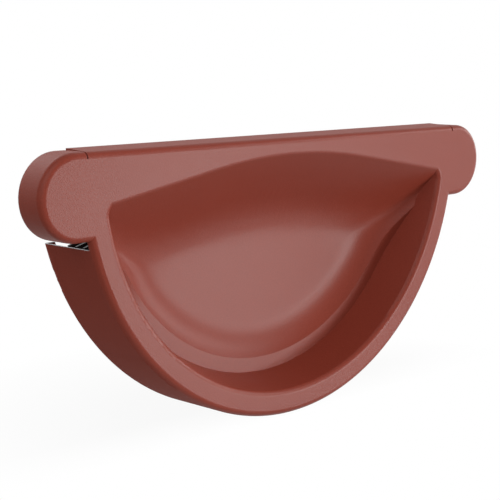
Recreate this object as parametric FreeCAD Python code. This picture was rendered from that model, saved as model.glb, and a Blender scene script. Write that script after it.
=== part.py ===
import FreeCAD, Part
import math
import os

# End cap for a half-round steel gutter: one painted sheet, deep drawn.
# A rubber seal lies in the channel behind its rim.
# Frame: origin on the axis of the half-round, on the outer face of the flat plate.
# X runs along the straight top edge, Y runs back into the gutter, Z is up. All lengths are millimetres.
V = FreeCAD.Vector

# Sheet and outline
sheet = 0.6
bend = 1.5                 # outer radius of every sharp bend
half_round = 65.0          # outer radius of the half-round rim
bead = 9.7                 # outer radius of the round lobe over the gutter's rolled bead
bead_x = 66.5              # each lobe's centre, from the middle
bead_drop = 5.5            # each lobe's centre, below the half-round's axis

# Rims
rim_depth = 18.5           # half-round rim, front to back
lip = 3.0                  # lip turned in at the back of the half-round rim
lobe_depth = 7.9           # rim round each lobe
flange_depth = 7.9         # straight flange along the top
flange_lift = 0.4          # how far the top flange's free edge stands up
top_slit = 0.4             # cut between the top flange and each lobe
top_slit_x = 63.7          # place of that cut, from the middle
notch = 2.0                # gap between each lobe's rim and the half-round rim

# Pressed pan
pan_gap = 6.1              # from the half-round rim's outer face to the pan's wall, at the plate
draft = 17.0               # lean of the pan's wall, degrees
corner_round = 3.0         # radius in each upper corner of the mouth
ledge_width = 3.6          # narrow ledge at the foot of the wall
ledge_depth = 10.5
ramp_start = 30.0          # where it starts to climb to each upper corner, below the mouth's upper edge
ramp_radius = 38.2         # radius of that climb
ramp_top = 8.6             # height at which it levels off
ramp_ease = 1.5            # run-out of the climb into that level
taper_start = 20.0         # where it starts to get narrower, below the mouth's upper edge
taper = 0.38               # width that it loses with each millimetre of height
taper_ease = 3.0           # soft start of that taper, to each side of its start
climb_spread = 20.0        # how far in from the ledge the floor's edge climbs with it
floor_depth = 13.4
dish_radius = 15.0         # soft radius between the ledge's edge and the floor
roof_rise = 0.3            # top of the mouth, above the half-round's axis
roof_radius = 151.0        # crown of the mouth's upper edge
roof_fall = 9.8            # fall of that edge towards each corner, degrees
slope = 39.4               # lean of the pan's upper face from the plate at the mouth, degrees
slope_ease = 0.4           # how much flatter that face is inside the mouth's bend, degrees
ease_depth = 4.0           # depth at which it gets flatter
floor_run_out = 4.5        # depth over which it runs out into the floor
ledge_run_out = 2.0        # depth over which it runs out into the ledge

# Seal
seal_start = 1.4           # behind the plate's outer face
seal_length = 9.2
seal_base = 1.0
seal_fins = 4
fin_root = 1.0
fin_tip = 0.5
seal_play = 0.3            # the free fins stop this far short of the rim
seal_seat = 0.05           # glue between the seal and the pan's wall

net_turns = 72             # columns of the net that the pressed faces hang on
net_rows = 26              # its rows from the ledge's edge to the top
net_crowd = 0.6            # spacing of the first rows, as a part of the even spacing
ledge_rows = (1.2, 3.6, 7.2, 12.0)   # its rows outside the ledge's edge, from that edge
dish_spare = 1.1           # how far past the ledge's edge the dish's radius runs on, as a part of its reach
net_beyond = 3.0           # degrees that the net runs on above the half-round's ends
net_bend = 0.62            # where its columns, which leave the ledge square on, turn up to the top

lobe_low = -bead_drop - bead
lobe_top = -bead_drop + bead
notch_low = lobe_low - notch
mouth = half_round - pan_gap
past = 1.05                # how far a cut runs on past what it cuts, as a part of the size
reach = past * (bead_x + bead)
roof_centre = roof_rise - roof_radius
lean = math.tan(math.radians(draft))
rise = math.tan(math.radians(slope))
fall = math.radians(roof_fall)
ledge_foot = mouth - ledge_depth * lean
dish_reach = math.sqrt(dish_radius ** 2 - (dish_radius - floor_depth + ledge_depth) ** 2)


def block(x0, x1, y0, y1, z0, z1):
    return Part.makeBox(x1 - x0, y1 - y0, z1 - z0, V(x0, y0, z0))


def closed_face(edges):
    return Part.Face(Part.Wire(Part.__sortEdges__(edges)))


def turned(points, angle=360.0, start=0.0):
    """Solid turned about the half-round's axis from a closed outline of (radius, depth) points and arcs."""
    outline = outline_face(points, V(0, 0, 0), V(1, 0, 0))
    solid = outline.revolve(V(0, 0, 0), V(0, 1, 0), angle)
    return solid.rotated(V(0, 0, 0), V(0, 1, 0), start) if start else solid


def outline_face(points, origin, across):
    """Face from (across, depth) points; a third item is the middle point of an arc that ends there."""
    def place(p):
        return origin + across * p[0] + V(0, p[1], 0)
    edges = []
    last = points[-1]
    for p in points:
        if len(p) == 3:
            edges.append(Part.Arc(place(last), place(p[2]), place(p)).toShape())
        else:
            edges.append(Part.LineSegment(place(last), place(p)).toShape())
        last = p
    return closed_face(edges)


def arc_mid(centre, radius, start, end):
    """Middle point of an arc, from its centre and its two end directions in degrees."""
    a = math.radians((start + end) / 2)
    return (centre[0] + radius * math.cos(a), centre[1] + radius * math.sin(a))


def drum(inset, depth_end, rounded_back):
    """Half-round volume inside the rim's outer face, set in all round by inset."""
    r = half_round - inset
    b = bend - inset
    front = inset
    c = r - b
    points = [(0, front), (c, front)]
    points.append((r, front + b, arc_mid((c, front + b), b, -90, 0)))
    if rounded_back:
        points.append((r, depth_end - b))
        points.append((c, depth_end, arc_mid((c, depth_end - b), b, 0, 90)))
    else:
        points.append((r, depth_end))
    points.append((0, depth_end))
    return turned(points).cut(block(-reach, reach, -reach, reach, lobe_low + bend, reach))


def bar(inset, depth_end):
    """Volume of the bar and its two lobes inside their rim's outer face, set in all round by inset."""
    r = bead - inset
    low = V(bead_x, inset, -bead_drop - r)
    high = V(bead_x, inset, -bead_drop + r)
    side = V(bead_x + r, inset, -bead_drop)
    low_left, high_left, side_left = [V(-p.x, p.y, p.z) for p in (low, high, side)]
    edges = [Part.Arc(low, side, high).toShape(), Part.LineSegment(high, high_left).toShape(),
             Part.Arc(high_left, side_left, low_left).toShape(), Part.LineSegment(low_left, low).toShape()]
    solid = closed_face(edges).extrude(V(0, depth_end - inset, 0))
    front = [e for e in solid.Edges if abs(e.BoundBox.YMax - inset) < 1e-6]
    return solid.makeFillet(bend - inset, front)


def top_flange():
    """Straight flange along the top, bent a little less than square so that its free edge stands up."""
    tilt = math.atan(flange_lift / (flange_depth - bend))
    c = (lobe_top - bend, bend)
    inner = bend - sheet
    run = (flange_depth - bend * (1 - math.sin(tilt))) / math.cos(tilt)
    leg = (math.sin(tilt) * run, math.cos(tilt) * run)
    outer_end = (c[0] + bend * math.cos(tilt), c[1] - bend * math.sin(tilt))
    inner_end = (c[0] + inner * math.cos(tilt), c[1] - inner * math.sin(tilt))
    back = -90.0
    tip = -math.degrees(tilt)
    points = [(c[0] - bend, 0), (c[0], 0), (outer_end[0], outer_end[1], arc_mid(c, bend, back, tip)),
              (outer_end[0] + leg[0], outer_end[1] + leg[1]), (inner_end[0] + leg[0], inner_end[1] + leg[1]),
              inner_end, (c[0], sheet, arc_mid(c, inner, back, tip)), (c[0] - bend, sheet)]
    half = top_slit_x - top_slit / 2
    return outline_face(points, V(-half, 0, 0), V(0, 0, 1)).extrude(V(2 * half, 0, 0))


def blank():
    """Plate with every rim, before the pan is pressed in it."""
    cup = drum(0, rim_depth, True).fuse(bar(0, lobe_depth))
    room = drum(sheet, rim_depth - sheet, True).fuse(bar(sheet, rim_depth + sheet))
    back = turned([(0, sheet), (half_round - lip, sheet), (half_round - lip, reach), (0, reach)])
    room = room.fuse(back.cut(block(-reach, reach, -reach, 2 * reach, lobe_low + bend, reach)))
    shell = cup.cut(room)
    half = top_slit_x - top_slit / 2
    shell = shell.cut(block(-half, half, -reach, reach, lobe_top - bend, reach)).fuse(top_flange())
    for side in (-1, 1):
        x0, x1 = sorted((side * (top_slit_x - top_slit / 2), side * (top_slit_x + top_slit / 2)))
        shell = shell.cut(block(x0, x1, -reach, reach, lobe_top - bend, reach))
        x0, x1 = sorted((side * (half_round - bend - lip - notch), side * (bead_x + bead)))
        shell = shell.cut(block(x0, x1, bend, reach, notch_low, lobe_low))
        shell = shell.cut(block(x0, x1, lobe_depth, reach, notch_low, lobe_low + bend))
    return shell


def below_roof(x, z):
    """Distance of a point of the plate below the upper edge of the pan's mouth."""
    if math.atan2(abs(x), z - roof_centre) < fall:
        return roof_radius - math.hypot(x, z - roof_centre)
    return roof_radius - abs(x) * math.sin(fall) - (z - roof_centre) * math.cos(fall)


def upper_face(q):
    """Depth of the pan's upper face, q below the mouth's upper edge; it levels off at the mouth's bend."""
    flatter = math.tan(math.radians(slope - slope_ease))
    fade = ease_depth / flatter
    back = ease_depth / rise - q
    if back <= 0:
        return ease_depth - back * flatter
    back = min(back, fade)
    return ease_depth - back * flatter + back * back * flatter / (2 * fade)


def eased(a, b, run_out):
    """The lesser of two depths, with a soft run-out between them."""
    h = max(run_out - abs(a - b), 0) / run_out
    return min(a, b) - h * h * run_out / 4


def climb(q):
    """How far the ledge has climbed towards the mouth, q below the mouth's upper edge."""
    return eased(max(ramp_start - q, 0) ** 2 / (2 * ramp_radius), ramp_top, ramp_ease)


def taper_at(q):
    """How much narrower the ledge has got, q below the mouth's upper edge."""
    way = taper_start - q
    if abs(way) < taper_ease:
        way = (way + taper_ease) ** 2 / (4 * taper_ease)
    return max(way, 0) * taper


def ledge_edge(x, z):
    """Distance of the ledge's inner edge from the half-round's axis, in the direction of a point."""
    grow = ledge_foot / math.hypot(x, z)
    q = below_roof(x * grow, z * grow)
    return ledge_foot + climb(q) * lean - ledge_width + taper_at(q)


def ledge_at(x, z):
    q = below_roof(x, z)
    return eased(upper_face(q), ledge_depth - climb(q), ledge_run_out)


def bowl_at(x, z):
    q = below_roof(x, z)
    inside = ledge_edge(x, z) - math.hypot(x, z)
    out = min(max(dish_reach - inside, 0), dish_spare * dish_reach)
    spread = max(1 - inside / climb_spread, 0)
    dish = floor_depth - dish_radius + math.sqrt(dish_radius ** 2 - out ** 2) - climb(q) * spread ** 2
    run_out = floor_run_out + (ledge_run_out - floor_run_out) * (out / dish_reach) ** 2
    return eased(upper_face(q), dish, run_out)


def normal_at(depth_at, x, z):
    """Direction square to a pressed face, pointing back into the gutter."""
    step = 0.01
    gx = (depth_at(x + step, z) - depth_at(x - step, z)) / (2 * step)
    gz = (depth_at(x, z + step) - depth_at(x, z - step)) / (2 * step)
    n = V(-gx, 1, -gz)
    return n.normalize()


def pressed_point(x, z, faces, offset):
    """Point of a pressed face, or of its back at offset; two faces share a crease."""
    p = V(x, faces[0](x, z), z)
    normals = [normal_at(f, x, z) for f in faces]
    way = (normals[0] + normals[-1]).normalize()
    return p + way * (offset / way.dot(normals[0]))


def smooth_patch(rows):
    """Smooth face on a net of points."""
    def knots(n):
        inner = n - 4
        return [4] + [1] * inner + [4], [float(i) for i in range(inner + 2)]
    um, uk = knots(len(rows))
    vm, vk = knots(len(rows[0]))
    face = Part.BSplineSurface()
    face.buildFromPolesMultsKnots(rows, um, vm, uk, vk, False, False, 3, 3)
    return face.toShape()


def pressed_faces(offset):
    """The ledge and the bowl inside it, or their backs at offset. They share the ledge's inner edge."""
    turn = (180 + 2 * net_beyond) / net_turns
    angles = [math.radians(net_beyond - turn * i) for i in range(net_turns + 1)]
    ways = [(math.cos(a), math.sin(a)) for a in angles]
    inner = [(x * ledge_edge(x, z), z * ledge_edge(x, z)) for x, z in ways]
    shared = [pressed_point(x, z, (ledge_at, bowl_at), offset) for x, z in inner]
    ledge = [shared]
    for out in ledge_rows:
        row = [(x + way[0] * out, z + way[1] * out) for (x, z), way in zip(inner, ways)]
        ledge.append([pressed_point(x, z, (ledge_at,), offset) for x, z in row])
    bowl = [shared]
    for row in range(1, net_rows + 1):
        t = row / net_rows
        t = t * (net_crowd + (1 - net_crowd) * t)
        inward = (1 - t) * (1 - t + 2 * t * net_bend)
        across = inward + t * t * net_bend
        up = t * t * (lobe_top + bend)
        bowl.append([pressed_point(x * across, z * inward + up, (bowl_at,), offset) for x, z in inner])
    return [smooth_patch(ledge), smooth_patch(bowl)]


def wall_form(offset):
    """Room inside the pan's drafted wall and its rounded upper corners, with the bend at the mouth."""
    over = offset / math.cos(math.radians(draft))
    r0 = mouth + over
    deep = floor_depth + bend
    room = turned([(0, 0), (r0, 0), (r0 - deep * lean, deep), (0, deep)])
    peak = V(0, 0, roof_centre + (roof_radius + over) / math.cos(fall))
    for side in (-1, 1):
        along = V(side * math.cos(fall), 0, -math.sin(fall)) * reach
        down = V(-side * math.sin(fall), 0, -math.cos(fall))
        top = [peak - along, peak + along, peak + along + down * 2 * reach, peak - along + down * 2 * reach]
        back = [p + V(0, deep, 0) + down * (deep * lean) for p in top]
        wires = [Part.makePolygon(p + p[:1]) for p in (top, back)]
        room = room.common(Part.makeLoft(wires, True, True))
    upright = [e for e in room.Edges if e.BoundBox.YLength > deep / past]
    room = room.makeFillet(corner_round + offset, [e for e in upright if abs(e.CenterOfMass.x) > mouth / 2])
    upright = [e for e in room.Edges if e.BoundBox.YLength > deep / past]
    room = room.makeFillet(roof_radius / 2, [e for e in upright if abs(e.CenterOfMass.x) < bend])
    whole = room.fuse(block(-reach, reach, -bend, offset, -reach, mouth))
    level = [e for e in whole.Edges if max(abs(v.Y - offset) for v in e.Vertexes) < sheet / 4]
    level = [e for e in level if e.BoundBox.YLength < sheet / 2]
    rim = [e for e in level if max(math.hypot(v.X, v.Z) for v in e.Vertexes) < r0 + bend]
    return whole.makeFillet(bend - offset, rim)


def roof_form(offset):
    """Room in front of the pan's sloping upper face, with the bend at the mouth's upper edge."""
    b = bend - offset
    half = math.radians(slope / 2)
    q0 = -offset * math.tan(half)
    t = b * math.tan(half)
    end = half_round + bead
    above = bead + roof_rise
    c = (q0 - t, offset + b)
    points = [(-above, -bend), (-above, offset), (q0 - t, offset)]
    points.append((c[0] + b * math.sin(math.radians(slope)), c[1] - b * math.cos(math.radians(slope)),
                   arc_mid(c, b, -90, slope - 90)))
    points.append((end, rise * end + offset / math.cos(math.radians(slope))))
    points.append((end, -bend))
    profile = outline_face(points, V(0, 0, roof_rise), V(0, 0, -1))
    centre = V(0, 0, roof_centre)
    axis = V(0, 1, 0)
    swing = roof_fall
    crown = profile.rotated(centre, axis, -swing).revolve(centre, axis, 2 * swing)
    right = profile.rotated(centre, axis, swing).extrude(V(math.cos(fall), 0, -math.sin(fall)) * reach)
    left = profile.rotated(centre, axis, -swing).extrude(V(-math.cos(fall), 0, -math.sin(fall)) * reach)
    return crown.fuse([left, right])


def pan_room(offset):
    """Room in front of the pressed pan, or of its back at offset, with a flat border over the plate."""
    edge = bend + sheet
    border = half_round - edge
    room = turned([(0, -bend), (border, -bend), (border, rim_depth), (0, rim_depth)])
    room = room.cut(block(-reach, reach, -reach, reach, lobe_top - edge, reach))
    room = room.common(wall_form(offset)).common(roof_form(offset))
    for face in pressed_faces(offset):
        room = room.cut(face.extrude(V(0, reach, 0)))
    return room


def end_cap():
    """The whole pressed sheet."""
    back = pan_room(sheet).cut(block(-reach, reach, -reach, 0, -reach, reach))
    return blank().fuse(back).cut(pan_room(0)).removeSplitter()


def seal():
    """Rubber strip round the pan's wall, with fins that press on the gutter."""
    def wall_back(y):
        return mouth + sheet / math.cos(math.radians(draft)) - y * lean + seal_seat
    last = seal_start + seal_length
    tip = half_round - sheet - seal_play
    points = [(wall_back(seal_start), seal_start)]
    pitch = (seal_length - fin_root) / (seal_fins - 1)
    for i in range(seal_fins):
        y = seal_start + i * pitch
        points.append((wall_back(y) + seal_base, y))
        points.append((tip, y + (fin_root - fin_tip) / 2))
        points.append((tip, y + (fin_root + fin_tip) / 2))
        points.append((wall_back(y + fin_root) + seal_base, y + fin_root))
    points.append((wall_back(last), last))
    points[1] = (points[1][0], seal_start)
    start = math.degrees(math.asin(-notch_low / half_round))
    return turned(points, 180 - 2 * start, start)


os.makedirs("parts", exist_ok=True)
pieces = {"end_cap": end_cap(), "seal": seal()}
for name, shape in pieces.items():
    if len(shape.Solids) == 1:
        shape = shape.Solids[0]
    print(name, shape.isValid(), len(shape.Solids), round(shape.Volume, 1), len(shape.Faces), shape.BoundBox)
    shape.exportStep("parts/" + name + ".step")
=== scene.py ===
import math

import bmesh
import bpy
from mathutils import Matrix, Vector


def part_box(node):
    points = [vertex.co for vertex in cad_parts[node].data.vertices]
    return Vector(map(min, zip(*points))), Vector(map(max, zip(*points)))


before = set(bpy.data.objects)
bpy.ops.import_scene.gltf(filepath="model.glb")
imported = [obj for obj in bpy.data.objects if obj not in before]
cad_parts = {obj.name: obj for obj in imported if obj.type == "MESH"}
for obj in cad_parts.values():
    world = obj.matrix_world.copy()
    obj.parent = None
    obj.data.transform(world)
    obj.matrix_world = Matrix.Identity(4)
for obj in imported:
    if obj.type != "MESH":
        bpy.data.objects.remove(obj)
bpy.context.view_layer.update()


# Pressed cap: sheet steel, coated on the coil with satin oxide red, then drawn and flanged in one piece.
# The coating has a very fine grain, and is duller on the rims, where flanging stretched it. The cut edges
# are bare grey steel: the rims' back edges and the half-round rim's two ends.
class Value:
    """A socket that takes part in Python expressions; each operator adds a Math node."""

    def __init__(self, tree, socket):
        self.tree = tree
        self.socket = socket

    def math(self, operation, *others, clamp=False):
        node = self.tree.nodes.new("ShaderNodeMath")
        node.operation = operation
        node.use_clamp = clamp
        for socket, item in zip(node.inputs, others):
            if isinstance(item, Value):
                self.tree.links.new(item.socket, socket)
            else:
                socket.default_value = item
        return Value(self.tree, node.outputs[0])

    def __add__(self, other):
        return self.math("ADD", self, other)

    def __radd__(self, other):
        return self.math("ADD", other, self)

    def __sub__(self, other):
        return self.math("SUBTRACT", self, other)

    def __rsub__(self, other):
        return self.math("SUBTRACT", other, self)

    def __mul__(self, other):
        return self.math("MULTIPLY", self, other)

    def __rmul__(self, other):
        return self.math("MULTIPLY", other, self)

    def __truediv__(self, other):
        return self.math("DIVIDE", self, other)

    def __rtruediv__(self, other):
        return self.math("DIVIDE", other, self)

    def __gt__(self, other):
        return self.math("GREATER_THAN", self, other)

    def __lt__(self, other):
        return self.math("LESS_THAN", self, other)

    def size(self):
        return self.math("ABSOLUTE", self)

    def root(self):
        return self.math("POWER", self, 0.5)

    def held(self):
        """Held between 0 and 1."""
        return self.math("ADD", self, 0.0, clamp=True)


class Shading:
    """The nodes of a material or a world: one shader, and what feeds it."""

    def __init__(self, owner, output, shader):
        self.owner = owner
        owner.use_nodes = True
        self.tree = owner.node_tree
        self.tree.nodes.clear()
        self.shader = self.node(shader)
        self.tree.links.new(self.shader.outputs[0], self.node(output).inputs["Surface"])

    def node(self, kind, settings=None, inputs=None):
        node = self.tree.nodes.new(kind)
        for name, item in (settings or {}).items():
            setattr(node, name, item)
        for name, item in (inputs or {}).items():
            self.feed(node.inputs[name], item)
        return node

    def feed(self, socket, item):
        if isinstance(item, Value):
            self.tree.links.new(item.socket, socket)
        elif isinstance(item, bpy.types.NodeSocket):
            self.tree.links.new(item, socket)
        else:
            socket.default_value = item

    def place(self):
        """Object coordinates, and their three parts."""
        point = self.node("ShaderNodeTexCoord").outputs["Object"]
        parts = self.node("ShaderNodeSeparateXYZ", inputs={"Vector": point}).outputs
        return point, [Value(self.tree, socket) for socket in parts]

    def noise(self, point, scale, detail, roughness):
        node = self.node("ShaderNodeTexNoise", inputs={
            "Vector": point, "Scale": scale, "Detail": detail, "Roughness": roughness})
        return Value(self.tree, node.outputs["Fac"])

    def mixed(self, mask, under, over):
        """Colour under, with colour over where the mask is 1."""
        node = self.node("ShaderNodeMix", {"data_type": "RGBA"})
        self.feed(node.inputs[0], mask)
        self.feed(node.inputs[6], under)
        self.feed(node.inputs[7], over)
        return node.outputs[2]

    def put_on(self, thing):
        thing.data.materials.clear()
        thing.data.materials.append(self.owner)


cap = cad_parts["end_cap"]
paint = Shading(
    bpy.data.materials.new("oxide_red_coating"), "ShaderNodeOutputMaterial", "ShaderNodeBsdfPrincipled")
point, (x, y, z) = paint.place()
across = (x * x + z * z).root()

# The rims lie behind the plate's bend, outside the pan or above the axis. Metres, as are all lengths here.
bend_start = 0.0004
bend_run = 0.0012
rim_radius = 0.0610
flange_height = 0.0010
edge_run = 0.0004
half_round_drop = 0.0170
behind = ((y - bend_start) / bend_run).held()
outside = ((across - rim_radius) / edge_run).held()
above = ((z - flange_height) / edge_run).held()
rims = behind * (outside + above).held()
half_round = rims * (z < -half_round_drop)

# The cut edges are the half-round rim's ends, the backs of the flange and of the lobes' rims, and the
# lip's inner edge.
end_drop = 0.0172
end_depth = 0.0020
end_band = 0.00004
lip_radius = 0.0620
lip_depth = 0.0170
lip_band = 0.00003
lobe_drop = 0.0155
flange_depth = 0.0079
flange_band = 0.00006
ends = ((z + end_drop).size() < end_band) * (across > lip_radius) * (y > end_depth)
upper_backs = ((y - flange_depth).size() < flange_band) * (z > -lobe_drop) * rims
lower_backs = ((across - lip_radius).size() < lip_band) * (y > lip_depth)
bare = (ends + upper_backs + lower_backs).held()

red = (0.176, 0.0299, 0.0176, 1.0)
pale_red = (0.214, 0.0364, 0.0214, 1.0)
steel = (0.42, 0.42, 0.43, 1.0)
steel_metallic = 0.6
grain = paint.noise(point, scale=2600.0, detail=2.0, roughness=0.6)
grain_paling = 1.6
grain_middle = 0.5
cloud = paint.noise(point, scale=60.0, detail=2.0, roughness=0.5)
cloud_paling = 0.5
pale_from = 0.55
coat = paint.mixed((grain * grain_paling + cloud * cloud_paling - pale_from).held(), red, pale_red)
plate_roughness = 0.33
rim_dulling = 0.18
half_round_dulling = 0.24
grain_dulling = 0.12
roughness = (plate_roughness + rims * rim_dulling + half_round * half_round_dulling
             + (grain - grain_middle) * grain_dulling)
bumps = paint.node("ShaderNodeBump", inputs={"Height": grain, "Distance": 0.000032})
paint.feed(paint.shader.inputs["Base Color"], paint.mixed(bare, coat, steel))
paint.feed(paint.shader.inputs["Metallic"], bare * steel_metallic)
paint.feed(paint.shader.inputs["Roughness"], roughness)
paint.feed(paint.shader.inputs["Specular IOR Level"], 0.12)
paint.feed(paint.shader.inputs["Normal"], bumps.outputs["Normal"])
paint.put_on(cap)

# Seal: an extruded strip of matt black rubber with fins, glued round the pan's wall. It lies in the
# channel behind the half-round rim, where its fins press on the gutter's end.
black = (0.015, 0.015, 0.016, 1.0)
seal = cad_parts["seal"]
rubber = Shading(
    bpy.data.materials.new("black_rubber"), "ShaderNodeOutputMaterial", "ShaderNodeBsdfPrincipled")
rubber.feed(rubber.shader.inputs["Base Color"], black)
rubber.feed(rubber.shader.inputs["Roughness"], 0.6)
rubber.put_on(seal)


# Floor: a pale matt shelf with the cap standing at its front edge. It shows white to the camera and in
# reflections, apart from a faint patch by the cap, which keeps the cap's shadow.
def seen(shading):
    """1 for what the camera sees, directly, mirrored or through glass."""
    rays = shading.node("ShaderNodeLightPath").outputs
    kinds = ("Is Camera Ray", "Is Glossy Ray", "Is Transmission Ray")
    camera, glossy, transmission = [Value(shading.tree, rays[name]) for name in kinds]
    return (camera + glossy + transmission).held()


shelf_clearance = 0.0005
shelf_side = 0.15
shelf_front = -0.004
shelf_back = 0.2
shelf_top = min(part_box(name)[0].z for name in ("end_cap", "seal")) - shelf_clearance
corners = ((-shelf_side, shelf_front), (shelf_side, shelf_front),
           (shelf_side, shelf_back), (-shelf_side, shelf_back))
shelf = bmesh.new()
shelf.faces.new([shelf.verts.new((side, depth, shelf_top)) for side, depth in corners])
floor = bpy.data.objects.new("floor", bpy.data.meshes.new("floor"))
shelf.to_mesh(floor.data)
shelf.free()
bpy.context.scene.collection.objects.link(floor)

grey = (0.5, 0.5, 0.5, 1.0)
white = (1.0, 1.0, 1.0, 1.0)
patch_start = 0.02
patch_radius = 0.045
patch_run = 0.055
patch_share = 0.08
ground = Shading(bpy.data.materials.new("pale_floor"), "ShaderNodeOutputMaterial", "ShaderNodeMixShader")
point, (x, y, z) = ground.place()
patch = (y / patch_start).held() * (1.0 - ((x * x + y * y).root() - patch_radius) / patch_run).held()
lit = ground.node("ShaderNodeBsdfDiffuse", inputs={"Color": grey})
glow = ground.node("ShaderNodeEmission", inputs={"Color": white, "Strength": 1.0})
ground.feed(ground.shader.inputs[0], seen(ground) * (1.0 - patch * patch_share))
ground.feed(ground.shader.inputs[1], lit.outputs[0])
ground.feed(ground.shader.inputs[2], glow.outputs[0])
ground.put_on(floor)

# Studio: white to the camera and in reflections, a dim even room to the cap, and soft boxes round it.
# The ones at the right are what the plate, the pan's floor and its lower left side mirror to the camera.
dim = (0.12, 0.12, 0.12, 1.0)
world = bpy.data.worlds.new("studio")
bpy.context.scene.world = world
studio = Shading(world, "ShaderNodeOutputWorld", "ShaderNodeMixShader")
room = studio.node("ShaderNodeBackground", inputs={"Color": dim})
backdrop = studio.node("ShaderNodeBackground", inputs={"Color": white})
studio.feed(studio.shader.inputs[0], seen(studio))
studio.feed(studio.shader.inputs[1], room.outputs[0])
studio.feed(studio.shader.inputs[2], backdrop.outputs[0])
cap_middle = Vector((0, 0.005, -0.03))
stand_radius = 1.2


def soft_box(name, azimuth, elevation, width, height, radiance):
    """A panel aimed at the cap, so many degrees right of its front and above the half-round's axis."""
    lamp = bpy.data.lights.new(name, "AREA")
    lamp.shape = "RECTANGLE"
    lamp.size = width
    lamp.size_y = height
    lamp.energy = radiance * math.pi * width * height
    stand = bpy.data.objects.new(name, lamp)
    bpy.context.scene.collection.objects.link(stand)
    a = math.radians(azimuth)
    e = math.radians(elevation)
    way = Vector((math.sin(a) * math.cos(e), -math.cos(a) * math.cos(e), math.sin(e)))
    stand.location = way * stand_radius
    aim = cap_middle - stand.location
    stand.rotation_euler = aim.to_track_quat("-Z", "Y").to_euler()


soft_box("front_right_box", azimuth=39, elevation=-8, width=0.33, height=0.46, radiance=19.2)
soft_box("low_right_box", azimuth=54, elevation=-28, width=0.30, height=0.36, radiance=2.7)
soft_box("right_box", azimuth=80, elevation=3, width=0.50, height=0.50, radiance=4.6)
soft_box("high_right_box", azimuth=59, elevation=17, width=0.46, height=0.46, radiance=5.6)
soft_box("front_left_box", azimuth=-30, elevation=12, width=1.0, height=1.0, radiance=1.0)
soft_box("high_left_box", azimuth=-35, elevation=48, width=1.0, height=1.0, radiance=1.6)
soft_box("left_box", azimuth=-75, elevation=25, width=1.0, height=1.0, radiance=1.3)
soft_box("low_front_box", azimuth=-10, elevation=-50, width=1.0, height=1.0, radiance=0.6)
soft_box("back_box", azimuth=185, elevation=24, width=1.0, height=1.0, radiance=3.2)

# Camera: a long lens where the photo was taken from, a third of a metre away, to the left of the cap's
# front. It looks to the right by its turn and down by its dip, and leans by its roll.
turn = math.radians(44.77)
dip = math.radians(8.65)
roll = math.radians(-0.2)
lens = bpy.data.cameras.new("camera")
lens.sensor_width = 36.0
lens.lens = 96.3
lens.clip_start = 0.01
eye = bpy.data.objects.new("camera", lens)
bpy.context.scene.collection.objects.link(eye)
ahead = Vector((math.sin(turn) * math.cos(dip), math.cos(turn) * math.cos(dip), -math.sin(dip)))
level_right = Vector((math.cos(turn), -math.sin(turn), 0))
level_up = level_right.cross(ahead)
right = level_right * math.cos(roll) + level_up * math.sin(roll)
up = level_up * math.cos(roll) - level_right * math.sin(roll)
view = Matrix((right, up, -ahead)).transposed().to_4x4()
view.translation = Vector((-0.238002, -0.224174, 0.026067))
eye.matrix_world = view
bpy.context.scene.camera = eye
bpy.context.scene.view_settings.view_transform = "Standard"
